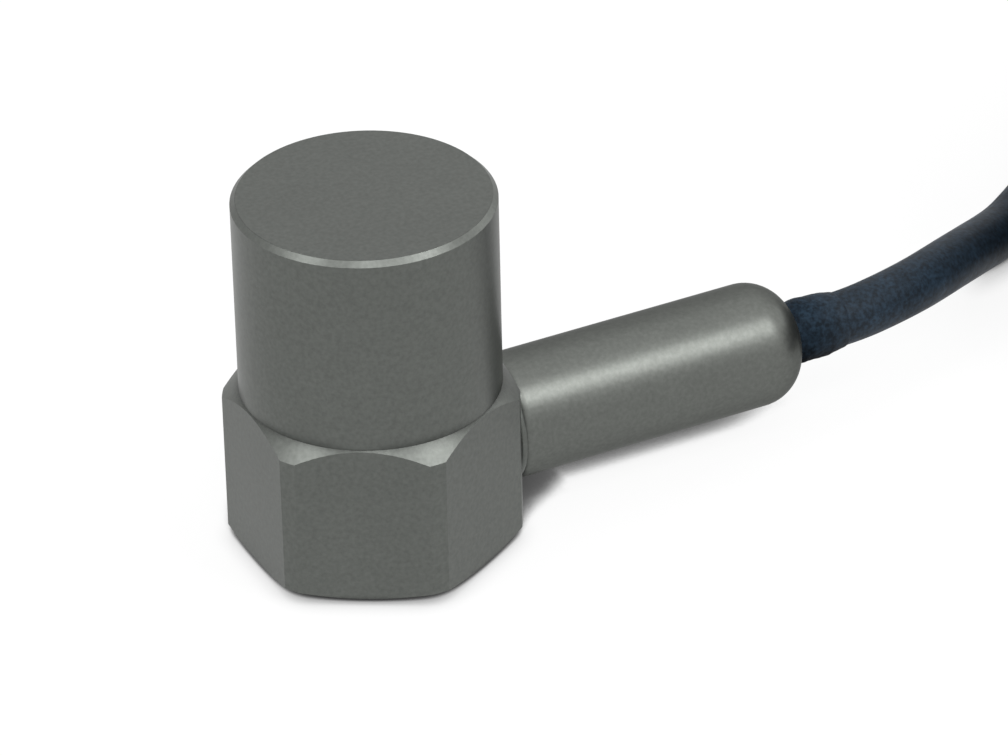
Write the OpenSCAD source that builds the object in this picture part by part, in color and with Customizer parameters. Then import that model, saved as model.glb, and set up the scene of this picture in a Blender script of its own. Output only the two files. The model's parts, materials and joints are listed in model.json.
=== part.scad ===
// Vibration sensor with a side outlet, a base thread and a fixed cable.
// Millimetres. The origin is the middle of the base, Z is the sensing axis, X runs along the tube.

/* [Hex foot and barrel] */
// Width of the hexagon across its flats
hex_af = 22.2; // [21:0.1:26]
// Height of the hexagon, up to where its shoulder meets the barrel
hex_h = 15.2; // [14.5:0.1:18]
// Depth turned off each corner of the hexagon
corner_trim = 0.4; // [0.2:0.05:0.6]
// Step from the flats in to the barrel
barrel_step = 0.1; // [0.05:0.05:0.4]
// Step from the flats in to the rim of the base face
foot_inset = 1.9; // [0.8:0.1:2.4]
// Slope of the foot's chamfer, degrees above the floor
foot_angle = 21; // [15:1:35]
// Slope of the shoulder's chamfer, degrees
shoulder_angle = 45; // [30:1:50]
// Height of the whole sensor
body_h = 33; // [32:0.5:40]
// Wall of the barrel
barrel_wall = 1.7; // [1.4:0.1:2]
// Thickness of the floor under the inner trench
floor_t = 3.2; // [2.5:0.1:3.4]
// Width of the chamfer round the barrel's top
edge_w = 0.45; // [0.3:0.05:0.8]
// Thickness of the welded cap
cap_t = 1.6; // [1.2:0.1:2]

/* [Base thread] */
// Tapping diameter of the M8 thread
thread_d = 6.8; // [5:0.1:6.8]
// Depth of the tapped wall
thread_depth = 7; // [5:0.5:7.5]
// Width of the chamfer at the thread's mouth
mouth_chamfer = 0.7; // [0.4:0.1:1]
// Metal left above the drill point
roof_t = 2; // [1.5:0.1:2.5]

/* [Side tube] */
// Outside diameter of the tube
tube_d = 10.8; // [9.5:0.1:11.2]
// Length of the tube, from the flat to the tip of the nose
tube_l = 28.6; // [26:0.1:40]
// Rounding of the nose
nose_r = 3.9; // [3:0.1:4]
// Rounding of the tube's end at the root
root_r = 1; // [0.5:0.1:1.2]
// Length of the neck between the flat and the rounded end
neck_l = 0.3; // [0.1:0.05:0.6]
// Width of the neck's face that is welded to the flat
neck_face = 0.5; // [0.3:0.1:0.7]
// Bore of the tube
tube_bore = 6.4; // [6.2:0.1:7]
// Wall of the spigot that sits in the foot
spigot_wall = 0.8; // [0.5:0.1:1]
// Thickness of the nose around the cable
nose_wall = 5; // [4:0.5:6]

/* [Sensing element] */
// Width of the trench around the pedestal
trench_w = 2; // [1.9:0.1:2.2]
// Diameter of the threaded post
post_d = 4; // [3:0.5:4]
// Wall of the insulating sleeve on the post
sleeve_t = 0.25; // [0.2:0.05:0.4]
// Thickness of the base insulator
insulator_t = 0.8; // [0.5:0.1:1]
// Thickness of each electrode
electrode_t = 0.2; // [0.1:0.05:0.3]
// Width of an electrode's solder tab
tab_w = 1.6; // [1.2:0.1:2.4]
// Thickness of each piezo ring
piezo_t = 1.6; // [1:0.1:2]
// Step from the edge of the mass in to the piezo rings
piezo_inset = 0.6; // [0.4:0.1:1]
// Thickness of the insulator on the mass
washer_t = 0.6; // [0.4:0.1:0.8]
// Thickness of the spring washer
spring_t = 0.5; // [0.3:0.1:0.6]
// Free height of the spring washer's cone
spring_rise = 0.35; // [0.2:0.05:0.5]
// Width of the nut across its flats
nut_af = 7; // [6.5:0.1:8]
// Height of the nut
nut_h = 3.2; // [2.4:0.1:3.5]
// Length of post above the nut
post_over = 0.8; // [0.4:0.1:1.2]

/* [Shield and board] */
// Wall of the shield can
can_t = 0.4; // [0.3:0.05:0.6]
// Space between the mass and the shield can
can_gap = 1; // [0.9:0.1:1.2]
// Overlap of the can on the pedestal
can_grip = 1.4; // [1:0.1:2]
// Space between the post and the top of the can
can_head = 0.8; // [0.5:0.1:1.5]
// Height of the spacers under the board
spacer_h = 0.8; // [0.5:0.1:1.2]
// Thickness of the board
board_t = 1; // [0.8:0.1:1.6]
// Space between the board's edge and the barrel
board_gap = 0.4; // [0.3:0.1:0.6]
// Space between the board and the cap
headroom = 2; // [1.8:0.1:3]
// Diameter of the wires from the electrodes
wire_d = 0.4; // [0.3:0.05:0.5]

/* [Cable] */
// Outside diameter of the cable
cable_d = 4.8; // [4.4:0.1:5]
// Diameter of an insulated core
core_d = 1.2; // [0.9:0.1:1.3]
// Space between the middles of the two cores
core_pitch = 1.8; // [1.6:0.1:2.2]
// Bend radius of a core at its middle
core_bend = 1.3; // [1:0.1:1.4]
// Length of the crimp ring
ferrule_l = 5; // [3:0.5:6]
// Length of jacket behind the crimp ring
tail_l = 5.5; // [3:0.5:7]
// Rise of the boot above the cable at the nose
boot_rise = 0.4; // [0.3:0.05:0.6]
// Rise of the boot above the cable at its far end
boot_tip = 0.1; // [0.05:0.05:0.2]
// Wall of the boot inside the nose
boot_wall = 0.22; // [0.2:0.01:0.28]
// Length of boot outside the nose
boot_out = 4.2; // [3:0.1:6]

/* [Coil] */
// Diameter of the coil at the middle of its turns
coil_d = 57.6; // [50:0.4:58]
// Space between the middles of two turns
coil_pitch = 5; // [4.9:0.1:5.2]
// Turns side by side in a layer
coil_rows = 4; // [3:1:4]
// Layers of turns
coil_layers = 5; // [4:1:6]
// Way from the nose to the middle of the coil
coil_away = 66.8; // [66:0.1:69]
// Width of the tie
tie_w = 4.5; // [3:0.5:6]
// Thickness of the tie
tie_t = 0.6; // [0.4:0.1:1]
// Length of the flying leads
lead_l = 36; // [20:1:45]
// Length of a stripped end
tip_l = 7; // [4:1:10]

/* [Hidden] */
$fn = 48;

// Overrun of a cutter past the face it cuts
over = 1;
// Clearance of pieces that are pushed together
fit = 0.05;
// Clearance of the welded cap
weld_fit = 0.01;

// Outside of the body
corner_d = hex_af / cos(30) - 2 * corner_trim;
barrel_d = hex_af - 2 * barrel_step;
foot_d = hex_af - 2 * foot_inset;
foot_rise = (corner_d - foot_d) / 2 * tan(foot_angle);
shoulder_drop = (corner_d - barrel_d) / 2 * tan(shoulder_angle);
flat_bottom = foot_inset * tan(foot_angle);
flat_top = hex_h - barrel_step * tan(shoulder_angle);

// Inside of the body
bore_d = barrel_d - 2 * barrel_wall;
cap_d = barrel_d - 2 * edge_w;
cap_z = body_h - cap_t;
pedestal_d = bore_d - 2 * trench_w;
drill_tip = round(50 * thread_d * tan(31)) / 100;
pedestal_h = thread_depth + drill_tip + roof_t;
mouth_d = thread_d + 2 * mouth_chamfer;

// Side tube, along X at the middle of the flat
tube_z = round(50 * (flat_bottom + flat_top)) / 100;
tube_root = hex_af / 2;
tube_end = tube_root + tube_l;
spigot_d = tube_bore + 2 * spigot_wall;
spigot_l = (hex_af - bore_d) / 2;
root_d = spigot_d + 2 * neck_face;
root_l = neck_l + root_r;
boot_d = cable_d + 2 * boot_rise;
boot_end_d = cable_d + 2 * boot_tip;
boot_even = 0.4 * boot_out;
boot_root_d = cable_d + 2 * boot_wall;
step_x = tube_end - nose_wall;
seal_t = (tube_bore - cable_d) / 2;
ferrule_x = step_x - seal_t - ferrule_l;
tail_x = ferrule_x - tail_l;
potting_x = tube_root + 1;

// Sensing element, from the pedestal up
can_d = pedestal_d;
can_in = can_d - 2 * can_t;
can_z = pedestal_h - can_grip;
mass_d = can_in - 2 * can_gap;
piezo_d = mass_d - 2 * piezo_inset;
ring_in = post_d + 2 * sleeve_t + 2 * fit;
wire_r = mass_d / 2 + can_gap / 2;
ground_z = pedestal_h + insulator_t;
lower_piezo_z = ground_z + electrode_t;
signal_z = lower_piezo_z + piezo_t;
upper_piezo_z = signal_z + electrode_t;
upper_z = upper_piezo_z + piezo_t;
mass_z = upper_z + electrode_t;

// From the cap down
board_top = cap_z - headroom;
board_z = board_top - board_t;
can_top = board_z - spacer_h;
post_top = can_top - can_t - can_head;
nut_z = post_top - post_over - nut_h;
spring_z = nut_z - spring_t - spring_rise;
washer_z = spring_z - washer_t;
mass_h = washer_z - mass_z;
washer_d = nut_af + 1.5;
spring_d = nut_af + 0.6;
spring_in = post_d + 4 * fit;
tab_end = can_gap / 2 - 3 * fit;
spacer_d = 2.4;
spacer_at = can_in * 0.3;

// Board
board_d = bore_d - 2 * board_gap;
part_r = board_d * 0.34;
core_x = (pedestal_d + bore_d) / 4;
core_z = board_top + core_d / 2;
notch_x = core_x - core_d;
notch_w = core_pitch + 2 * core_d;
pad_x = board_d * 0.28;
signal_az = 150;
ground_az = 210;

// Tube, boot and chip trim
boot_corner = 0.4;
chip_l = 4.9;
chip_w = 3.9;
part_l = 2;
part_w = 1.2;
cap_l = 0.4;
cap_rise = 0.05;
cap_y = part_l / 2 + cap_rise - cap_l / 2;

// Coil: the free cable joins its outer bottom turn and ends on top of it
cable_r = cable_d / 2;
coil_x = tube_end + coil_away;
coil_y = -4.2;
coil_half = (coil_rows - 1) * coil_pitch / 2;
coil_turn_r = coil_d / 2 + coil_half;
coil_out_r = coil_turn_r + cable_r;
coil_w = 2 * coil_half + cable_d;
coil_h = (coil_layers - 1) * coil_pitch + cable_d;
entry_az = 126;
entry_play = 0.3;
entry_step = 5;
end_az = -4;
end_arc = 140;
end_r = coil_turn_r - 2 * coil_pitch;
end_z = coil_h + cable_r - 0.4;
tie_az = 230;
head_t = 3.2;
lead_sweep = lead_l / end_r * 180 / PI;
tip_sweep = tip_l / end_r * 180 / PI;
tip_d = core_d * 0.65;
lead_pitch = core_d + 0.3;

// Route of the free cable: way along X from the nose, Y, share of the height above the floor
ROUTE = [[0, 0, 1], [boot_out + 0.3, 0, 1], [7, 0.28, 0.99], [9, 0.72, 0.98], [11.8, 1.6, 0.95],
    [14.5, 2.85, 0.88], [17.1, 4.4, 0.78], [19.6, 6.15, 0.65], [22.1, 8, 0.5], [24.6, 9.85, 0.35],
    [27.1, 11.7, 0.2], [29.6, 13.55, 0.08]];
entry = [coil_x + coil_turn_r * cos(entry_az), coil_y + coil_turn_r * sin(entry_az), cable_r];
route = concat(
    [for (p = ROUTE) [tube_end + p[0], p[1], cable_r + p[2] * (tube_z - cable_r)]],
    [for (back = [3, 2, 1, 0]) entry - back * entry_step * [sin(entry_az), -cos(entry_az), 0]]);
route_sides = 12;

// A turned piece along X
module along_x(x) {
    translate([x, 0, tube_z])
        rotate([0, 90, 0])
            children();
}

// Half outline of a plug with one rounded outer corner at its far end
module round_half(r, h, corner) {
    square([r, h - corner]);
    square([r - corner, h]);
    intersection() {
        translate([r - corner, h - corner])
            circle(corner);
        square([r, h]);
    }
}

// A slab between two opposite flats of the hexagon
module flats(az) {
    rotate([0, 0, az])
        translate([-hex_af / 2, -hex_af, 0])
            cube([hex_af, 2 * hex_af, hex_h]);
}

module hex_foot() {
    intersection() {
        flats(0);
        flats(60);
        flats(120);
        rotate_extrude()
            polygon([[0, 0], [foot_d / 2, 0], [corner_d / 2, foot_rise],
                [corner_d / 2, hex_h - shoulder_drop], [barrel_d / 2, hex_h], [0, hex_h]]);
    }
}

module thread_hole() {
    rotate_extrude()
        polygon([[0, -over], [mouth_d / 2 + over, -over], [thread_d / 2, mouth_chamfer],
            [thread_d / 2, thread_depth], [0, thread_depth + drill_tip]]);
}

module sensor_body() {
    color([0.42, 0.43, 0.42])
        difference() {
            union() {
                difference() {
                    union() {
                        hex_foot();
                        rotate_extrude()
                            polygon([[0, hex_h / 2], [barrel_d / 2, hex_h / 2],
                                [barrel_d / 2, body_h - edge_w], [cap_d / 2, body_h], [0, body_h]]);
                    }
                    translate([0, 0, floor_t])
                        cylinder(d = bore_d, h = body_h);
                    translate([0, 0, cap_z])
                        cylinder(d = cap_d + 2 * weld_fit, h = body_h);
                    along_x(0)
                        cylinder(d = spigot_d + 2 * fit, h = hex_af);
                }
                cylinder(d = pedestal_d, h = can_z);
                cylinder(d = can_in - 2 * fit, h = pedestal_h);
                cylinder(d = post_d, h = post_top);
            }
            thread_hole();
        }
}

module top_cap() {
    color([0.42, 0.43, 0.42])
        translate([0, 0, cap_z])
            cylinder(d = cap_d, h = cap_t);
}

module cable_tube() {
    color([0.45, 0.46, 0.45])
        along_x(tube_root)
            difference() {
                rotate_extrude() {
                    translate([0, root_l])
                        round_half(tube_d / 2, tube_l - root_l, nose_r);
                    translate([0, neck_l])
                        square([tube_d / 2 - root_r, root_l]);
                    intersection() {
                        translate([tube_d / 2 - root_r, root_l])
                            circle(root_r);
                        square([tube_d / 2, root_l + over]);
                    }
                    square([root_d / 2, root_l + over]);
                    translate([0, -spigot_l])
                        square([spigot_d / 2, spigot_l + over]);
                }
                translate([0, 0, -spigot_l - over])
                    cylinder(d = tube_bore, h = step_x - tube_root + spigot_l + over);
                cylinder(d = boot_root_d + 2 * fit, h = tube_l + over);
            }
}

// A flat ring that stands at height z
module ring(z, h, out_d, in_d) {
    translate([0, 0, z])
        difference() {
            cylinder(d = out_d, h = h);
            translate([0, 0, -over])
                cylinder(d = in_d, h = h + 2 * over);
        }
}

// A contact disc with a solder tab that its wire passes through
module electrode(z, az) {
    color([0.8, 0.62, 0.3])
        translate([0, 0, z])
            linear_extrude(electrode_t)
                difference() {
                    union() {
                        circle(d = piezo_d);
                        rotate([0, 0, az])
                            translate([0, -tab_w / 2])
                                square([wire_r + tab_end, tab_w]);
                    }
                    circle(d = ring_in);
                    rotate([0, 0, az])
                        translate([wire_r, 0])
                            circle(d = wire_d + 2 * fit);
                }
}

module base_insulator() {
    color([0.92, 0.91, 0.87])
        ring(pedestal_h, insulator_t, mass_d, ring_in);
}

module ground_electrode() {
    electrode(ground_z, ground_az);
}

module lower_piezo() {
    color([0.75, 0.72, 0.62])
        ring(lower_piezo_z, piezo_t, piezo_d, ring_in);
}

module signal_electrode() {
    electrode(signal_z, signal_az);
}

module upper_piezo() {
    color([0.75, 0.72, 0.62])
        ring(upper_piezo_z, piezo_t, piezo_d, ring_in);
}

module upper_electrode() {
    electrode(upper_z, ground_az);
}

module seismic_mass() {
    color([0.5, 0.5, 0.52])
        ring(mass_z, mass_h, mass_d, ring_in);
}

module top_insulator() {
    color([0.92, 0.91, 0.87])
        ring(washer_z, washer_t, washer_d, ring_in);
}

module post_sleeve() {
    color([0.9, 0.9, 0.88])
        ring(pedestal_h, spring_z - pedestal_h, post_d + 2 * sleeve_t, post_d + fit);
}

module spring_washer() {
    color([0.55, 0.55, 0.55])
        translate([0, 0, spring_z])
            rotate_extrude()
                polygon([[spring_in / 2, spring_rise], [spring_d / 2, 0],
                    [spring_d / 2, spring_t], [spring_in / 2, spring_rise + spring_t]]);
}

module preload_nut() {
    color([0.6, 0.6, 0.6])
        translate([0, 0, nut_z])
            difference() {
                cylinder(d = nut_af / cos(30), h = nut_h, $fn = 6);
                translate([0, 0, -over])
                    cylinder(d = post_d + 2 * fit, h = nut_h + 2 * over);
            }
}

module shield_can() {
    color([0.72, 0.72, 0.7])
        difference() {
            translate([0, 0, can_z])
                rotate_extrude()
                    difference() {
                        round_half(can_d / 2, can_top - can_z, 2 * can_t);
                        translate([0, -over])
                            round_half(can_in / 2, can_top - can_z - can_t + over, can_t);
                    }
            for (az = [signal_az, ground_az])
                rotate([0, 0, az])
                    translate([wire_r - wire_d, 0, can_top - 4 * can_t])
                        cylinder(d = 4 * wire_d, h = 4 * can_t + over);
        }
}

module board_spacers() {
    color([0.85, 0.8, 0.65])
        for (az = [30, 150, 270])
            rotate([0, 0, az])
                translate([spacer_at, 0, can_top])
                    cylinder(d = spacer_d, h = spacer_h);
}

module circuit_board() {
    color([0.1, 0.35, 0.2])
        translate([0, 0, board_z])
            linear_extrude(board_t)
                difference() {
                    circle(d = board_d);
                    translate([notch_x, -notch_w / 2])
                        square([board_d, notch_w]);
                    for (az = [signal_az, ground_az])
                        rotate([0, 0, az])
                            translate([wire_r, 0])
                                circle(d = wire_d + 2 * fit);
                }
}

module amplifier_chip() {
    color([0.08, 0.08, 0.09])
        translate([0, 0, board_top]) {
            translate([-chip_l / 2, -chip_w / 2, 0.1])
                cube([chip_l, chip_w, 1.2]);
            for (i = [-1.5:1:1.5], side = [-1, 1])
                translate([i * 1.27 - 0.2, side * (chip_w / 2 + 0.4) - 0.6, 0])
                    cube([0.4, 1.2, 0.3]);
        }
}

// A chip part with raised end caps, set on the board at an angle round its middle
module chip_part(az, h) {
    rotate([0, 0, az])
        translate([part_r, 0, board_top]) {
            translate([-part_w / 2, -part_l / 2, 0])
                cube([part_w, part_l, h]);
            for (side = [-1, 1])
                translate([-part_w / 2 - cap_rise, side * cap_y - cap_l / 2, 0])
                    cube([part_w + 2 * cap_rise, cap_l, h + cap_rise]);
        }
}

module chip_capacitors() {
    color([0.6, 0.5, 0.38])
        for (az = [60, 90, 120])
            chip_part(az, 0.9);
}

module chip_resistors() {
    color([0.12, 0.12, 0.13])
        for (az = [240, 270, 300])
            chip_part(az, 0.5);
}

// A straight wire from an electrode up through the board
module element_wire(z, az) {
    color([0.75, 0.5, 0.35])
        rotate([0, 0, az])
            translate([wire_r, 0, z])
                cylinder(d = wire_d, h = board_top + wire_d - z);
}

module signal_wire() {
    element_wire(signal_z, signal_az);
}

module ground_wire() {
    element_wire(ground_z, ground_az);
}

// A quarter bend in the XZ plane, from +X round to +Z about the origin
module quarter_bend(turn) {
    rotate([90, 0, 0])
        rotate([0, 0, turn])
            rotate_extrude(angle = 90)
                translate([core_bend, 0])
                    circle(d = core_d);
}

// A core from the jacket along the tube, up the trench and over onto the board
module core(side) {
    corners = [[core_x + core_bend, tube_z], [core_x, tube_z + core_bend],
        [core_x, core_z - core_bend], [core_x - core_bend, core_z]];
    translate([0, side * core_pitch / 2, 0]) {
        along_x(corners[0][0])
            cylinder(d = core_d, h = tail_x - corners[0][0]);
        translate([corners[0][0], 0, corners[1][1]])
            quarter_bend(180);
        translate([core_x, 0, corners[1][1]])
            cylinder(d = core_d, h = corners[2][1] - corners[1][1]);
        translate([corners[3][0], 0, corners[2][1]])
            quarter_bend(0);
        translate([pad_x, 0, core_z])
            rotate([0, 90, 0])
                cylinder(d = core_d, h = corners[3][0] - pad_x);
    }
}

module positive_core() {
    color([0.7, 0.1, 0.08])
        core(1);
}

module return_core() {
    color([0.88, 0.88, 0.86])
        core(-1);
}

module potting_plug() {
    color([0.16, 0.15, 0.14])
        along_x(potting_x)
            difference() {
                cylinder(d = tube_bore - 2 * weld_fit, h = ferrule_x - potting_x);
                translate([0, 0, tail_x - potting_x])
                    cylinder(d = cable_d + 2 * weld_fit, h = tube_l);
                for (side = [-1, 1])
                    translate([0, side * core_pitch / 2, -over])
                        cylinder(d = core_d + 2 * weld_fit, h = tube_l);
            }
}

module cable_ferrule() {
    color([0.72, 0.58, 0.3])
        along_x(ferrule_x)
            difference() {
                cylinder(d = tube_bore - 2 * fit, h = ferrule_l);
                translate([0, 0, -over])
                    cylinder(d = cable_d + 2 * weld_fit, h = ferrule_l + 2 * over);
            }
}

module tube_seal() {
    color([0.05, 0.05, 0.05])
        along_x(step_x - seal_t / 2)
            rotate_extrude()
                translate([(tube_bore + cable_d) / 4, 0])
                    circle(d = seal_t - 2 * weld_fit);
}

module cable_tail() {
    color([0.04, 0.05, 0.07])
        along_x(tail_x)
            cylinder(d = cable_d, h = tube_end - tail_x);
}

module cable_boot() {
    color([0.05, 0.06, 0.08])
        along_x(tube_end)
            difference() {
                rotate_extrude() {
                    translate([0, fit - nose_wall])
                        square([boot_root_d / 2, nose_wall]);
                    polygon([[0, fit], [boot_root_d / 2, fit], [boot_d / 2, fit + boot_corner],
                        [boot_d / 2, boot_even], [boot_end_d / 2, boot_out], [0, boot_out]]);
                }
                translate([0, 0, -nose_wall - over])
                    cylinder(d = cable_d + 2 * weld_fit, h = nose_wall + boot_out + 2 * over);
            }
}

// Ring of points round the route at one of its points
function unit(v) = v / norm(v);
function heading(p, i) = i == 0 ? [1, 0, 0]
    : i == len(p) - 1 ? [sin(entry_az), -cos(entry_az), 0]
    : unit(p[i + 1] - p[i - 1]);
function ring_points(p, i) =
    let (t = heading(p, i), s = unit(cross([0, 0, 1], t)), u = cross(t, s))
    [for (k = [0:route_sides - 1])
        let (a = 360 * k / route_sides)
        p[i] + cable_r * (cos(a) * s + sin(a) * u)];

module swept_cable(p) {
    n = route_sides;
    last = len(p) - 1;
    polyhedron(
        points = [for (i = [0:last]) each ring_points(p, i)],
        faces = concat(
            [[for (k = [0:n - 1]) n - 1 - k]],
            [for (i = [0:last - 1], k = [0:n - 1])
                [i * n + k, i * n + (k + 1) % n, (i + 1) * n + k]],
            [for (i = [0:last - 1], k = [0:n - 1])
                [i * n + (k + 1) % n, (i + 1) * n + (k + 1) % n, (i + 1) * n + k]],
            [[for (k = [0:n - 1]) last * n + k]]));
}

module cable() {
    color([0.04, 0.05, 0.07])
        swept_cable(route);
}

// Round-cornered section of the coil, less a skin
module coil_section(skin) {
    flat_w = coil_w - cable_d;
    flat_h = coil_h - cable_d;
    thick = cable_d - 2 * skin;
    translate([coil_d / 2, coil_h / 2]) {
        square([flat_w + thick, flat_h], center = true);
        square([flat_w, flat_h + thick], center = true);
        for (x = [-1, 1], y = [-1, 1])
            translate([x * flat_w / 2, y * flat_h / 2])
                circle(d = thick);
    }
}

module coil_frame() {
    translate([coil_x, coil_y, 0])
        children();
}

// The stretch of the coil's section under the tie
module tie_slab(gap) {
    rotate([0, 0, tie_az])
        translate([0, -tie_w / 2 - gap, -over])
            cube([coil_out_r + over, tie_w + 2 * gap, coil_h + 2 * over]);
}

module cable_coil() {
    color([0.04, 0.05, 0.07])
        coil_frame() {
            difference() {
                rotate_extrude()
                    coil_section(0);
                difference() {
                    tie_slab(fit);
                    rotate_extrude()
                        coil_section(tie_t + fit);
                }
                rotate([0, 0, entry_az])
                    translate([coil_turn_r - cable_r - fit, 0, -over])
                        cube([coil_w, coil_d, cable_d + over + entry_play]);
            }
            rotate([0, 0, end_az])
                rotate_extrude(angle = end_arc)
                    translate([end_r, end_z])
                        circle(cable_r);
        }
}

module coil_tie() {
    color([0.03, 0.03, 0.03])
        coil_frame() {
            intersection() {
                tie_slab(0);
                rotate_extrude()
                    difference() {
                        coil_section(0);
                        coil_section(tie_t);
                    }
            }
            rotate([0, 0, tie_az]) {
                translate([coil_out_r - tie_t / 2, -tie_w / 2, coil_h / 2 - tie_w / 2])
                    cube([tie_t / 2 + head_t, tie_w, tie_w]);
                translate([coil_out_r + head_t / 2, -tie_w / 2 + 0.4, coil_h / 2])
                    cube([tie_t, tie_w - 0.8, tie_w]);
            }
        }
}

// An arc that lies on top of the coil, from the end of the jacket onwards
module lead_arc(row, d, from, sweep) {
    coil_frame()
        rotate([0, 0, end_az - from - sweep])
            rotate_extrude(angle = sweep)
                translate([end_r + row * lead_pitch, coil_h + core_d / 2])
                    circle(d = d);
}

module positive_lead() {
    color([0.7, 0.1, 0.08])
        lead_arc(-1, core_d, 0, lead_sweep);
}

module return_lead() {
    color([0.88, 0.88, 0.86])
        lead_arc(0, core_d, 0, lead_sweep);
}

module screen_lead() {
    color([0.08, 0.08, 0.08])
        lead_arc(1, core_d, 0, lead_sweep);
}

module lead_tips() {
    color([0.75, 0.75, 0.74])
        for (row = [-1:1])
            lead_arc(row, tip_d, lead_sweep, tip_sweep);
}

sensor_body();
top_cap();
cable_tube();
base_insulator();
ground_electrode();
lower_piezo();
signal_electrode();
upper_piezo();
upper_electrode();
seismic_mass();
top_insulator();
post_sleeve();
spring_washer();
preload_nut();
shield_can();
board_spacers();
circuit_board();
amplifier_chip();
chip_capacitors();
chip_resistors();
signal_wire();
ground_wire();
positive_core();
return_core();
potting_plug();
cable_ferrule();
tube_seal();
cable_tail();
cable_boot();
cable();
cable_coil();
coil_tie();
positive_lead();
return_lead();
screen_lead();
lead_tips();
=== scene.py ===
"""Looks of the vibration sensor: camera, cable, small pieces, finishes, floor and light."""
import json
import math

import bmesh
import bpy
from mathutils import Matrix, Vector, noise


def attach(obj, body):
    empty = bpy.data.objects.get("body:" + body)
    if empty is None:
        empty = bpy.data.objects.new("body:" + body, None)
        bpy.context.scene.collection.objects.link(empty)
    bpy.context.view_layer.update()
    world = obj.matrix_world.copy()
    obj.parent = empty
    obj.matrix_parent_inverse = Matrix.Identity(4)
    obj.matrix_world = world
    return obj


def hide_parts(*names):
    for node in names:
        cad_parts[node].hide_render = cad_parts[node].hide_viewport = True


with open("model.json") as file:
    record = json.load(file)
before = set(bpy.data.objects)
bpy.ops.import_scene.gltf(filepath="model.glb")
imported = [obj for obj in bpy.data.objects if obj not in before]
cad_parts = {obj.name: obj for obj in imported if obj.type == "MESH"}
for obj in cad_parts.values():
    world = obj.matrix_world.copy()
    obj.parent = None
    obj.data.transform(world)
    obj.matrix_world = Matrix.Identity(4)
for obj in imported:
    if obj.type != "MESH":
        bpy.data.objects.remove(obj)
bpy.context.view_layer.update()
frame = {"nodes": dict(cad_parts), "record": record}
nodes = frame["nodes"]
scene = bpy.context.scene
scene.view_settings.view_transform = "Standard"
MM = 0.001
rad = math.radians


def link(obj):
    scene.collection.objects.link(obj)
    return obj


def mesh_piece(name, bm, smooth=True):
    """A mesh object from a bmesh in millimetres."""
    bmesh.ops.scale(bm, vec=(MM, MM, MM), verts=bm.verts)
    bmesh.ops.recalc_face_normals(bm, faces=bm.faces)
    data = bpy.data.meshes.new(name)
    bm.to_mesh(data)
    bm.free()
    for face in data.polygons:
        face.use_smooth = smooth
    return link(bpy.data.objects.new(name, data))


def skin_rings(bm, rings, closed):
    """Faces between rings of points that are each a closed loop; if closed, the last ring meets the first."""
    follow = rings[1:] + rings[:1] if closed else rings[1:]
    for one, two in zip(rings, follow):
        for k in range(len(one)):
            m = (k + 1) % len(one)
            bm.faces.new((one[k], one[m], two[m], two[k]))


def thick_line(name, fineness):
    """A curve whose points carry their radius in metres."""
    data = bpy.data.curves.new(name, "CURVE")
    data.dimensions = "3D"
    data.bevel_depth = 1.0
    data.bevel_resolution = fineness
    data.use_fill_caps = True
    return data


def smooth_step(t):
    t = min(max(t, 0.0), 1.0)
    return t * t * (3 - 2 * t)


# Camera, at the photograph's place: its direction from the object, then millimetres, then pixels
AZ, EL, ROLL = rad(-26.411), rad(31.844), rad(-1.351)
DISTANCE, ASIDE, ABOVE = 547.726, 10.778, 13.05
FOCAL_LENGTH, PICTURE_W = 6500, 1008
SENSOR_W = 36


def make_camera():
    back = Vector((math.sin(AZ) * math.cos(EL), -math.cos(AZ) * math.cos(EL), math.sin(EL)))
    level = Vector((math.cos(AZ), math.sin(AZ), 0))
    upright = back.cross(level)
    right = level * math.cos(ROLL) + upright * math.sin(ROLL)
    up = upright * math.cos(ROLL) - level * math.sin(ROLL)
    place = (back * DISTANCE + right * ASIDE + up * ABOVE) * MM
    lens = bpy.data.cameras.new("camera")
    lens.sensor_fit = "HORIZONTAL"
    lens.sensor_width = SENSOR_W
    lens.lens = FOCAL_LENGTH * SENSOR_W / PICTURE_W
    lens.clip_start = 0.01
    camera = link(bpy.data.objects.new("camera", lens))
    view = [[*row] for row in zip(right, up, back, place)] + [[0, 0, 0, 1]]
    camera.matrix_world = Matrix(view)
    scene.camera = camera


make_camera()

# Cable: the free run, then the coil, then the end on top of it; millimetres and degrees
CABLE_D = 4.8
CABLE_R = CABLE_D / 2
NOSE_X, TUBE_Z = 39.7, 7.91
PITCH, TURN_R = 5.0, 36.3
ENTRY_AZ, TIE_AZ, END_AZ = 126.0, 230.0, -4.0
COIL = Vector((106.5, -4.2, 0))
# Free run: way past the nose, way aside and share of the nose's height
ROUTE = [
    (0, 0, 1), (2.2, 0, 1), (4.5, 0, 1), (7, 0.28, 0.99), (9, 0.72, 0.98), (11.8, 1.6, 0.95),
    (14.5, 2.85, 0.88), (17.1, 4.4, 0.78), (19.6, 6.15, 0.65), (22.1, 8, 0.5), (24.6, 9.85, 0.35),
    (27.1, 11.7, 0.2), (29.6, 13.55, 0.08),
]
RUN_IN = (15, 10, 5)
# Coil: how many strands lie abreast, and in how many layers
ABREAST, LAYERS = 4, 5
INWARD, UPWARD = (ABREAST - 1) * PITCH, (LAYERS - 1) * PITCH
# Winding in a layer, in a climb to the next and in the last layer, and from point to point
TURN, CLIMB, LAST_TURN, STEP = 1080, 90, 990, 15
LAST = (LAYERS - 1) * (TURN + CLIMB) + LAST_TURN
# End on top: how deep it nests between the turns below, its radius, and how it settles there
END_NEST, END_SINK, END_R = 0.2, 0.35, 26.3
TOP_Z = CABLE_R + LAYERS * PITCH - END_NEST
END_SHIFT_OVER, END_SINK_OVER = 70, 120
# Room for the tie under the lowest turns, and how far to each side of it they rise
LIFT, LIFT_OVER = 0.6, 28


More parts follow.
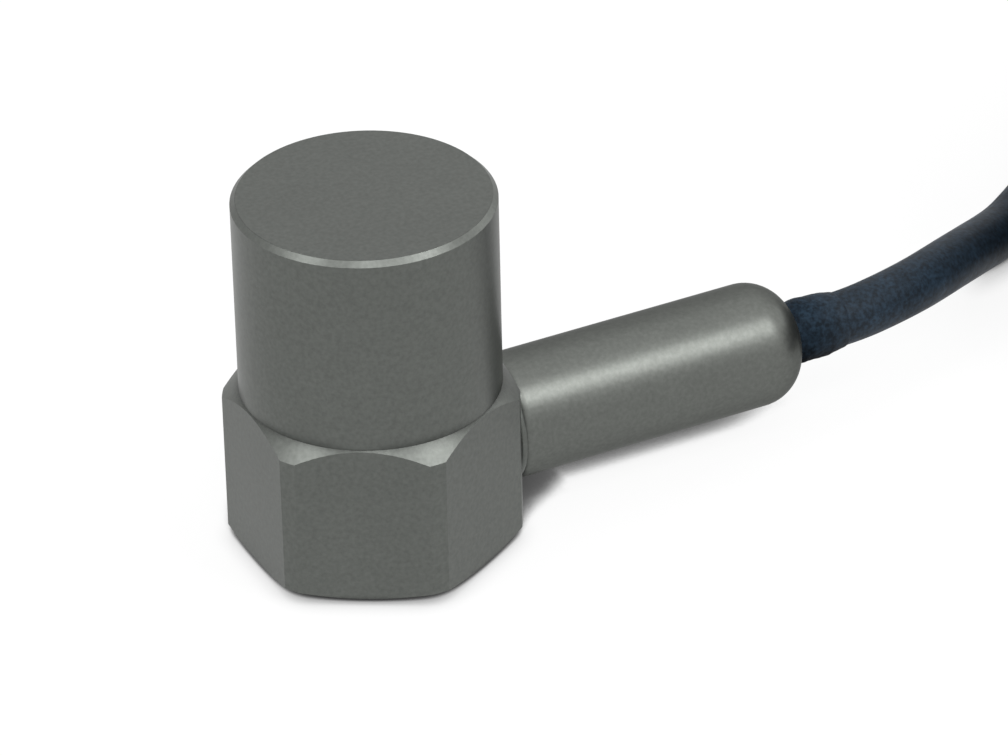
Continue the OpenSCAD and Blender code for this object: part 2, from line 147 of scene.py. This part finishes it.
def winding(s):
    """Azimuth, radius and height of the coil's centreline s degrees after its start."""
    az = ENTRY_AZ - s
    if s <= LAST:
        layer, t = divmod(s, TURN + CLIMB)
        share = min(t, TURN) / TURN
        r = TURN_R - INWARD * (share if layer % 2 == 0 else 1 - share)
        z = CABLE_R + PITCH * (layer + smooth_step((t - TURN) / CLIMB))
    else:
        start = TURN_R - INWARD * LAST_TURN / TURN
        r = start + (END_R - start) * smooth_step((s - LAST - CLIMB) / END_SHIFT_OVER)
        top = TOP_Z - END_SINK * smooth_step((s - LAST - CLIMB) / END_SINK_OVER)
        z = CABLE_R + UPWARD
        z += (top - z) * smooth_step((s - LAST) / CLIMB)
    off = (az - TIE_AZ + 180) % 360 - 180
    lift = LIFT * smooth_step(1 - abs(off) / LIFT_OVER)
    return az, r, z + lift * max(0.0, 1 - (z - CABLE_R) / UPWARD)


def coil_point(az, r, z):
    return COIL + Vector((r * math.cos(rad(az)), r * math.sin(rad(az)), z))


def cable_path():
    """Centreline of the whole cable."""
    path = [Vector((NOSE_X + x, y, CABLE_R + k * (TUBE_Z - CABLE_R))) for x, y, k in ROUTE]
    entry = coil_point(ENTRY_AZ, TURN_R, CABLE_R)
    onward = Vector((math.sin(rad(ENTRY_AZ)), -math.cos(rad(ENTRY_AZ)), 0))
    path += [entry - onward * d for d in RUN_IN]
    total = LAST + CLIMB + (ENTRY_AZ - LAST - CLIMB - END_AZ) % 360
    steps = round(total / STEP)
    return path + [coil_point(*winding(total * i / steps)) for i in range(steps + 1)]


def cable_run():
    line = thick_line("cable_run", 6)
    line.resolution_u = 4
    spline = line.splines.new("BEZIER")
    path = cable_path()
    spline.bezier_points.add(len(path) - 1)
    for knot, p in zip(spline.bezier_points, path):
        knot.co = p * MM
        knot.radius = CABLE_R * MM
        knot.handle_left_type = knot.handle_right_type = "AUTO"
    return link(bpy.data.objects.new("cable_run", line))


cable = cable_run()


# Sleeve where the cable leaves the nose: a thick shrunk tube with soft wrinkles and a rolled end
def sleeve():
    # Way past the nose and radius
    profile = [
        (-1.2, 2.62), (-0.1, 2.62), (0.1, 2.64), (0.4, 2.7), (0.8, 2.75), (1.3, 2.78), (1.9, 2.79),
        (2.5, 2.77), (3.0, 2.73), (3.5, 2.66), (4.0, 2.59), (4.4, 2.53), (4.7, 2.48), (4.85, 2.42),
    ]
    between, sides = 4, 72
    wide_fold, small_fold, finer = 0.09, 0.035, 2.7
    fold_r, fold_l = 1.6, 0.9
    start, start_over, end, end_over = -0.1, 0.8, 4.7, 1.2
    dense = []
    for (x0, r0), (x1, r1) in zip(profile, profile[1:]):
        dense += [(x0 + (x1 - x0) * k / between, r0 + (r1 - r0) * k / between) for k in range(between)]
    dense.append(profile[-1])
    bm = bmesh.new()
    rings = []
    for x, r in dense:
        ring = []
        hold = smooth_step((x - start) / start_over) * smooth_step((end - x) / end_over)
        for k in range(sides):
            a = 2 * math.pi * k / sides
            spot = Vector((x * fold_l, fold_r * math.cos(a), fold_r * math.sin(a)))
            fold = wide_fold * noise.noise(spot)
            fold += small_fold * noise.noise(spot * finer + Vector((4, 1, 2)))
            q = r + fold * hold
            ring.append(bm.verts.new((NOSE_X + x, q * math.cos(a), TUBE_Z + q * math.sin(a))))
        rings.append(ring)
    skin_rings(bm, rings, closed=False)
    return mesh_piece("cable_sleeve", bm)


boot = sleeve()


# Tie: a strap drawn round the turns where they cross its plane, its head and its cut tail
def tie():
    turns = []
    s = (ENTRY_AZ - TIE_AZ) % 360
    while s <= LAST:
        turns.append(Vector(winding(s)[1:]))
        s += 360
    wide, slack, count = 4.5, 0.05, 180
    thick = LIFT - slack
    bm = bmesh.new()
    along = Vector((math.cos(rad(TIE_AZ)), math.sin(rad(TIE_AZ)), 0))
    across = Vector((-along.y, along.x, 0))

    def spot(r, z, w):
        return bm.verts.new(COIL + along * r + across * w + Vector((0, 0, z)))

    loop = []
    for k in range(count):
        a = 2 * math.pi * k / count
        u = Vector((math.cos(a), math.sin(a)))
        loop.append((max(turns, key=lambda c: c.dot(u)), u))
    # Section of the strap, as shares of its thickness and width
    section = [(0.03, -0.46), (0.03, 0.46), (0.5, 0.5), (1, 0.47), (1, -0.47), (0.5, -0.5)]
    rings = [[spot(*(c + u * (CABLE_R + thick * t)), wide * w) for t, w in section] for c, u in loop]
    skin_rings(bm, rings, closed=True)
    nearly_level = 0.02
    out = max(c.dot(u) + CABLE_R for c, u in loop if abs(u.y) < nearly_level) + thick
    head_z, head_w, cheek_w, tail_w, tooth_w = 12.4, 5.6, 5.4, 4.3, 2.6

    def block(r0, r1, z0, z1, w, chamfer):
        """A box with chamfered edges, outward from the strap and about the middle of the head."""
        made = bmesh.ops.create_cube(bm, size=1)["verts"]
        for v in made:
            r = out + (r0 if v.co.x < 0 else r1)
            z = head_z + (z0 if v.co.z < 0 else z1)
            v.co = COIL + along * r + across * (w * v.co.y) + Vector((0, 0, z))
        edges = list({e for v in made for e in v.link_edges})
        bmesh.ops.bevel(bm, geom=edges, offset=chamfer, segments=2, affect="EDGES", profile=0.6)

    # The head's floor and roof, its front and back, then the strap's cut end and the teeth on it
    front, lip, half, slot, cheek = 2.6, 1.55, 2.7, 1.55, 2.0
    sunk, back_sunk, back = -0.55, -0.6, 0.25
    block(sunk, front, -half, -slot, head_w, chamfer=0.3)
    block(sunk, front, slot, half, head_w, chamfer=0.3)
    block(lip, front, -cheek, cheek, cheek_w, chamfer=0.25)
    block(back_sunk, back, -cheek, cheek, cheek_w, chamfer=0.25)
    tail_in, tail_out, tail_low, tail_high = 0.45, 1.15, -3.4, 5.2
    block(tail_in, tail_out, tail_low, tail_high, tail_w, chamfer=0.12)
    teeth, first_z, tooth_pitch, tooth_half = 5, 2.9, 0.45, 0.14
    tooth_in, tooth_out = 1.05, 1.3
    for k in range(teeth):
        z = first_z + tooth_pitch * k
        block(tooth_in, tooth_out, z - tooth_half, z + tooth_half, tooth_w, chamfer=0.05)
    return mesh_piece("coil_strap", bm, smooth=False)


strap = tie()


# Bare ends: seven strands twisted round each other on each lead
def strands():
    data = thick_line("lead_strands", 2)
    lead_l, bare_l, lead_pitch, lead_rise = 36, 7, 1.5, 0.6
    count, wire_r, twist_r, splay, twist = 7, 0.14, 0.26, 0.05, 300
    core, pieces, overlap = count - 1, 28, 1.2
    height = CABLE_R * 2 + UPWARD + lead_rise
    first = END_AZ - math.degrees(lead_l / END_R)
    sweep = math.degrees(bare_l / END_R)
    for row in (-1, 0, 1):
        for strand in range(count):
            wire = data.splines.new("POLY")
            wire.points.add(pieces)
            for i, point in enumerate(wire.points):
                t = i / pieces
                turn = rad(360 / core * strand + twist * t)
                off = 0.0 if strand == core else twist_r + (splay * t if strand % 2 else 0)
                az = first + overlap - (sweep + overlap) * t
                r = END_R + lead_pitch * row + off * math.cos(turn)
                spot = coil_point(az, r, height + off * math.sin(turn))
                point.co = (*(spot * MM), 1)
                point.radius = wire_r * MM
    return link(bpy.data.objects.new("lead_strands", data))


wires = strands()


# Thread in the base: a ridge that winds up the wall of the hole
def ridge():
    lead, wall, crest, per_turn = 1.25, 3.4, 3.16, 48
    low, high = 1.0, 6.2
    sink, root_half, crest_half, run_out = 0.02, 0.5, 0.1, 0.5
    count = round((high - low) / lead * per_turn)
    bm = bmesh.new()
    rows = []
    for i in range(count + 1):
        a = 2 * math.pi * i / per_turn
        z = low + lead * i / per_turn
        fade = smooth_step(i / per_turn / run_out) * smooth_step((count - i) / per_turn / run_out)
        top = wall - (wall - crest) * fade
        section = ((wall + sink, -root_half), (top, -crest_half), (top, crest_half), (wall + sink, root_half))
        rows.append([bm.verts.new((r * math.cos(a), r * math.sin(a), z + dz)) for r, dz in section])
    for one, two in zip(rows, rows[1:]):
        for k in range(len(one) - 1):
            bm.faces.new((one[k], one[k + 1], two[k + 1], two[k]))
    return mesh_piece("thread_ridge", bm)


thread = ridge()


# Weld at the tube's root: a slightly uneven bead against the flat
def bead():
    mid_x, mid_r, size, around, sides = 11.62, 4.84, 0.5, 144, 16
    uneven, lump_r, lump_l = 0.05, 5, 0.6
    bm = bmesh.new()
    rings = []
    for i in range(around):
        a = 2 * math.pi * i / around
        ring = []
        for k in range(sides):
            b = 2 * math.pi * k / sides
            spot = Vector((lump_r * math.cos(a), lump_r * math.sin(a), lump_l * b))
            q = size * (1 + uneven * noise.noise(spot))
            r = mid_r + q * math.cos(b)
            ring.append(bm.verts.new((mid_x + q * math.sin(b), r * math.cos(a), TUBE_Z + r * math.sin(a))))
        rings.append(ring)
    skin_rings(bm, rings, closed=True)
    return mesh_piece("weld_bead", bm)


weld = bead()

for piece, name, *gone in (
    (cable, "jacket", "cable", "cable_coil"), (boot, "jacket", "cable_boot"), (strap, "tie", "coil_tie"),
    (wires, "tinned_wire", "lead_tips"), (thread, "stainless"), (weld, "stainless"),
):
    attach(piece, "root")
    if gone:
        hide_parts(*gone)


# Finishes
def new_material(name):
    mat = bpy.data.materials.new(name)
    mat.use_nodes = True
    tree = mat.node_tree
    tree.nodes.clear()
    return mat, tree, tree.nodes.new("ShaderNodeOutputMaterial").inputs["Surface"]


def new_finish(name):
    mat, tree, surface = new_material(name)
    shader = tree.nodes.new("ShaderNodeBsdfPrincipled")
    tree.links.new(shader.outputs["BSDF"], surface)
    return mat, tree, shader


def place_of(tree):
    return tree.nodes.new("ShaderNodeTexCoord").outputs["Object"]


def noise_of(tree, scale, detail, rough, stretch=(1, 1, 1)):
    turn = tree.nodes.new("ShaderNodeMapping")
    turn.inputs["Scale"].default_value = stretch
    tex = tree.nodes.new("ShaderNodeTexNoise")
    tex.inputs["Scale"].default_value = scale
    tex.inputs["Detail"].default_value = detail
    tex.inputs["Roughness"].default_value = rough
    tree.links.new(place_of(tree), turn.inputs["Vector"])
    tree.links.new(turn.outputs["Vector"], tex.inputs["Vector"])
    return tex.outputs["Fac"]


def ramp(tree, fac, stops):
    node = tree.nodes.new("ShaderNodeValToRGB")
    while len(node.color_ramp.elements) < len(stops):
        node.color_ramp.elements.new(0.5)
    for item, (at, colour) in zip(node.color_ramp.elements, stops):
        item.position = at
        item.color = (*colour, 1)
    tree.links.new(fac, node.inputs["Fac"])
    return node.outputs["Color"]


def grey_ramp(tree, fac, stops):
    return ramp(tree, fac, [(at, (level, level, level)) for at, level in stops])


def closed_off(tree, reach, samples):
    """A node that tells how open a point is within that reach in millimetres."""
    node = tree.nodes.new("ShaderNodeAmbientOcclusion")
    node.samples = samples
    node.inputs["Distance"].default_value = reach * MM
    return node


def to_range(tree, fac, low, high, start=0.3, end=0.7):
    node = tree.nodes.new("ShaderNodeMapRange")
    for key, value in (("From Min", start), ("From Max", end), ("To Min", low), ("To Max", high)):
        node.inputs[key].default_value = value
    tree.links.new(fac, node.inputs["Value"])
    return node.outputs["Result"]


def bump(tree, height, strength, distance, under=None):
    node = tree.nodes.new("ShaderNodeBump")
    node.inputs["Strength"].default_value = strength
    node.inputs["Distance"].default_value = distance * MM
    tree.links.new(height, node.inputs["Height"])
    if under:
        tree.links.new(under, node.inputs["Normal"])
    return node.outputs["Normal"]


def shade(colour, k):
    return tuple(c * k for c in colour)


def product(tree, a, b):
    """Two colours multiplied."""
    node = tree.nodes.new("ShaderNodeMix")
    node.data_type = "RGBA"
    node.blend_type = "MULTIPLY"
    node.inputs["Factor"].default_value = 1.0
    tree.links.new(a, node.inputs["A"])
    tree.links.new(b, node.inputs["B"])
    return node.outputs["Result"]


def maths(tree, operation, a, b):
    """Two values combined."""
    node = tree.nodes.new("ShaderNodeMath")
    node.operation = operation
    tree.links.new(a, node.inputs[0])
    tree.links.new(b, node.inputs[1])
    return node.outputs[0]


def plain(name, colour, rough, metal=0.0, vary=0.12, coarse=300, fine=3000, depth=0.01, stretch=(1, 1, 1)):
    """A finish with mottled colour and gloss and a fine grain."""
    mat, tree, shader = new_finish(name)
    gloss_vary, grain_strength = 0.12, 0.3
    mottle = noise_of(tree, coarse, 4, 0.6, stretch)
    grain = noise_of(tree, fine, 2, 0.5, stretch)
    tree.links.new(ramp(tree, mottle, [(0.3, shade(colour, 1 - vary)), (0.7, shade(colour, 1 + vary))]),
                   shader.inputs["Base Color"])
    tree.links.new(to_range(tree, mottle, rough * (1 - gloss_vary), min(1.0, rough * (1 + gloss_vary))),
                   shader.inputs["Roughness"])
    tree.links.new(bump(tree, grain, grain_strength, depth), shader.inputs["Normal"])
    shader.inputs["Metallic"].default_value = metal
    return mat


def blasted_steel(name, painted_corner_shade, tone=(0.127, 0.134, 0.125), edge=0.9):
    """Bead-blasted stainless: a grey skin of fine dents with faint clouds; with corner shade asked for,
    painted shade darkens it in corners and crevices.
    """
    mat, tree, shader = new_finish(name)
    clouds = noise_of(tree, 90, 3, 0.5)
    dents = noise_of(tree, 2600, 3, 0.55)
    swell = noise_of(tree, 420, 2, 0.4)
    base = ramp(tree, clouds, [(0.3, shade(tone, 0.96)), (0.7, shade(tone, 1.04))])
    skin = product(tree, base, grey_ramp(tree, dents, [(0.3, 0.86), (0.7, 1.05)]))
    # Painted shade: the skin darkens where nearby surfaces close a corner off
    if painted_corner_shade:
        corner = closed_off(tree, reach=1.1, samples=6).outputs["AO"]
        skin = product(tree, skin, grey_ramp(tree, corner, [(0.75, 0.22), (0.98, 1)]))
    tree.links.new(skin, shader.inputs["Base Color"])
    tree.links.new(to_range(tree, clouds, 0.37, 0.43), shader.inputs["Roughness"])
    waves = bump(tree, swell, 0.2, 0.03)
    tree.links.new(bump(tree, dents, 0.3, 0.01, waves), shader.inputs["Normal"])
    shader.inputs["Metallic"].default_value = 1.0
    shader.inputs["Specular Tint"].default_value = (edge, edge, edge, 1)
    return mat


def jacket(name, gloss, start_gloss=None):
    """Matte blue-black cable jacket with a fine speckled skin and faint rubbed patches.

    With a start gloss it is the sleeve: duller towards the nose, with painted shade darkening its colour and
    gloss where it is closed off, mostly underneath.
    """
    mat, tree, shader = new_finish(name)
    rub = noise_of(tree, 260, 4, 0.6)
    skin = noise_of(tree, 1500, 4, 0.6)
    specks = noise_of(tree, 2400, 2, 0.6)
    tone = (0.0085, 0.0165, 0.0265)
    patches = ramp(tree, rub, [(0.3, shade(tone, 0.78)), (0.55, tone), (0.75, shade(tone, 1.4))])
    colour = product(tree, patches, grey_ramp(tree, specks, [(0.35, 0.5), (0.65, 1.5)]))
    tree.links.new(to_range(tree, rub, 0.66, 0.54), shader.inputs["Roughness"])
    folds = bump(tree, rub, 0.3, 0.12)
    tree.links.new(bump(tree, skin, 0.4, 0.03, folds), shader.inputs["Normal"])
    if start_gloss is None:
        shader.inputs["Specular IOR Level"].default_value = gloss
    else:
        # Painted shade: colour and gloss darken where the sleeve is closed off, mostly on its underside
        underside_shade = grey_ramp(tree, closed_off(tree, reach=14, samples=6).outputs["AO"], [(0.4, 0.1), (0.72, 1)])
        colour = product(tree, colour, underside_shade)
        along = tree.nodes.new("ShaderNodeSeparateXYZ")
        tree.links.new(place_of(tree), along.inputs["Vector"])
        dull_to, full_from = (NOSE_X + 1.5) * MM, (NOSE_X + 4.6) * MM
        fade = to_range(tree, along.outputs["X"], start_gloss, gloss, dull_to, full_from)
        tree.links.new(maths(tree, "MULTIPLY", fade, underside_shade), shader.inputs["Specular IOR Level"])
    tree.links.new(colour, shader.inputs["Base Color"])
    return mat


finishes = {
    # The body's stainless has painted shade in its corners; the weld's copy has none
    "stainless": blasted_steel("stainless", True),
    # The tube's steel is a lighter copy of the stainless, painted extra light, and its darker grazing edges
    # stand in for the shade along its underside
    "lit_tube_steel": blasted_steel("lit_tube_steel", False, (0.138, 0.145, 0.135), 0.5),
    "weld": blasted_steel("weld", False),
    "jacket": jacket("jacket", 0.2),
    "sleeve": jacket("sleeve", 0.2, 0.06),
    "ceramic": plain("ceramic", (0.78, 0.76, 0.70), 0.5, vary=0.05, coarse=500),
    "piezo": plain("piezo", (0.42, 0.33, 0.17), 0.6, vary=0.1, coarse=900),
    "contact": plain("contact", (0.62, 0.46, 0.24), 0.35, 1.0, stretch=(1, 12, 1)),
    "heavy_metal": plain("heavy_metal", (0.36, 0.35, 0.34), 0.4, 1.0, coarse=700),
    "insulating_sleeve": plain("insulating_sleeve", (0.72, 0.68, 0.55), 0.5, vary=0.06),
    "spring_steel": plain("spring_steel", (0.28, 0.27, 0.26), 0.35, 1.0, coarse=900),
    "tinned_sheet": plain("tinned_sheet", (0.62, 0.62, 0.60), 0.38, 1.0, coarse=200, stretch=(1, 1, 8)),
    "spacer": plain("spacer", (0.82, 0.80, 0.74), 0.5, vary=0.05),
    "board": plain("board", (0.02, 0.13, 0.05), 0.45, vary=0.2, coarse=1500, fine=4000),
    "chip": plain("chip", (0.02, 0.02, 0.022), 0.6, coarse=2500),
    "chip_ceramic": plain("chip_ceramic", (0.45, 0.33, 0.2), 0.5, vary=0.1, coarse=1800),
    "copper_wire": plain("copper_wire", (0.75, 0.36, 0.18), 0.35, 1.0, coarse=1200),
    "core_red": plain("core_red", (0.42, 0.02, 0.015), 0.42, vary=0.1, coarse=900),
    "core_white": plain("core_white", (0.74, 0.74, 0.71), 0.42, vary=0.05, coarse=900),
    "core_black": plain("core_black", (0.018, 0.018, 0.02), 0.42, vary=0.15, coarse=900),
    "potting": plain("potting", (0.03, 0.03, 0.035), 0.3, vary=0.2, coarse=400),
    "ferrule": plain("ferrule", (0.55, 0.54, 0.52), 0.35, 1.0, coarse=900),
    "seal": plain("seal", (0.02, 0.02, 0.02), 0.7, vary=0.2, coarse=1500),
    "tie": plain("tie", (0.012, 0.012, 0.013), 0.42, vary=0.2, coarse=700, fine=2500, depth=0.02),
    "tinned_wire": plain("tinned_wire", (0.62, 0.61, 0.58), 0.3, 1.0, coarse=2500),
}

slot_of = {p["node"]: p["material_slot"] for p in frame["record"]["subparts"]}
for name, obj in nodes.items():
    obj.data.materials.clear()
    obj.data.materials.append(finishes["lit_tube_steel" if name == "cable_tube" else slot_of[name]])
for piece, name in (
    (cable, "jacket"), (boot, "sleeve"), (strap, "tie"), (wires, "tinned_wire"), (thread, "stainless"),
    (weld, "weld"),
):
    piece.data.materials.append(finishes[name])

# Floor: white to the eye and in reflections, with the object's soft shadow painted on it over the faint real
# shadow on its matte share; millimetres
# Shade of the paper, and the share of white light that the eye and reflections see in its place
PAPER, WHITE_SHARE = 0.86, 0.9
FLOOR_REACH = 3000
# Cells near the sensor and its cable, and near the coil: least x and y, greatest x and y
NEAR = [(-24, -16, 80, 32), (56, -56, 160, 48)]
# Shadow: how far its nodes look, how far the first leans to the camera, and openness against brightness
CAST_REACH, CAST_LEAN, TOUCH_REACH = 7, rad(65), 2.4
CAST = [(0.45, 0.03), (0.615, 0.1), (0.645, 0.25), (0.68, 0.62), (0.705, 0.95), (0.73, 1)]
TOUCH = [(0.15, 0.4), (0.4, 0.72), (0.65, 0.92), (0.9, 1)]


def shadow(tree):
    """Dark where the object closes off the camera's side of the floor, and darker where it touches."""
    lean = tree.nodes.new("ShaderNodeVectorRotate")
    lean.inputs["Axis"].default_value = (math.cos(AZ), math.sin(AZ), 0)
    lean.inputs["Angle"].default_value = CAST_LEAN
    tree.links.new(tree.nodes.new("ShaderNodeNewGeometry").outputs["Normal"], lean.inputs["Vector"])
    under = closed_off(tree, CAST_REACH, samples=64)
    tree.links.new(lean.outputs["Vector"], under.inputs["Normal"])
    beside = closed_off(tree, TOUCH_REACH, samples=8)
    cast = grey_ramp(tree, under.outputs["AO"], CAST)
    touch = grey_ramp(tree, beside.outputs["AO"], TOUCH)
    return product(tree, cast, touch)


def paper(name, shaded):
    """White paper, with the shadow drawn on it where shaded."""
    mat, tree, surface = new_material(name)
    matte = tree.nodes.new("ShaderNodeBsdfDiffuse")
    matte.inputs["Color"].default_value = (PAPER, PAPER, PAPER, 1)
    glow = tree.nodes.new("ShaderNodeEmission")
    glow.inputs["Color"].default_value = (1, 1, 1, 1)
    glow.inputs["Strength"].default_value = 1.0
    if shaded:
        tree.links.new(shadow(tree), glow.inputs["Color"])
    ray = tree.nodes.new("ShaderNodeLightPath").outputs
    seen = maths(tree, "MAXIMUM", ray["Is Camera Ray"], ray["Is Glossy Ray"])
    seen = maths(tree, "MAXIMUM", seen, ray["Is Transmission Ray"])
    mix = tree.nodes.new("ShaderNodeMixShader")
    tree.links.new(to_range(tree, seen, 0, WHITE_SHARE, 0, 1), mix.inputs["Fac"])
    tree.links.new(matte.outputs["BSDF"], mix.inputs[1])
    tree.links.new(glow.outputs["Emission"], mix.inputs[2])
    tree.links.new(mix.outputs["Shader"], surface)
    return mat


def floor():
    """One sheet; only its cells near the object work out the shadow."""
    xs = sorted({-FLOOR_REACH, FLOOR_REACH, *(v for x0, _, x1, _ in NEAR for v in (x0, x1))})
    ys = sorted({-FLOOR_REACH, FLOOR_REACH, *(v for _, y0, _, y1 in NEAR for v in (y0, y1))})
    bm = bmesh.new()
    grid = [[bm.verts.new((x, y, 0)) for y in ys] for x in xs]
    for left, right in zip(grid, grid[1:]):
        for j in range(len(ys) - 1):
            face = bm.faces.new((left[j], right[j], right[j + 1], left[j + 1]))
            mid = face.calc_center_median()
            near = any(x0 < mid.x < x1 and y0 < mid.y < y1 for x0, y0, x1, y1 in NEAR)
            face.material_index = 0 if near else 1
    obj = mesh_piece("floor", bm, smooth=False)
    obj.data.materials.append(paper("floor_near", True))
    obj.data.materials.append(paper("floor_far", False))


floor()

# Light: an even white room and five soft lamps, all aimed at a point in the sensor; metres
LIT_POINT, LAMP_FAR = Vector((0.012, 0, 0.012)), 1.0

world = bpy.data.worlds.new("room")
world.use_nodes = True
world.node_tree.nodes["Background"].inputs["Color"].default_value = (1, 1, 1, 1)
world.node_tree.nodes["Background"].inputs["Strength"].default_value = 1.0
scene.world = world


def lamp(name, aim, size, glow):
    """A square soft lamp of that brightness, in that direction from the object."""
    data = bpy.data.lights.new(name, "AREA")
    data.shape = "SQUARE"
    data.size = size
    data.energy = glow * math.pi * size * size
    obj = link(bpy.data.objects.new(name, data))
    aim = Vector(aim).normalized()
    obj.location = LIT_POINT + aim * LAMP_FAR
    obj.rotation_euler = aim.to_track_quat("Z", "Y").to_euler()


lamp("key", (0.376, -0.529, 0.76), 0.38, 7.2)
lamp("roof", (0.36, 0.2, 0.9), 0.8, 0.4)
lamp("fill", (-0.65, -0.02, 0.755), 0.24, 11.0)
lamp("overhead", (-0.2, -0.48, 0.85), 0.3, 7.0)
lamp("side", (0.956, 0, 0.292), 0.5, 1.5)
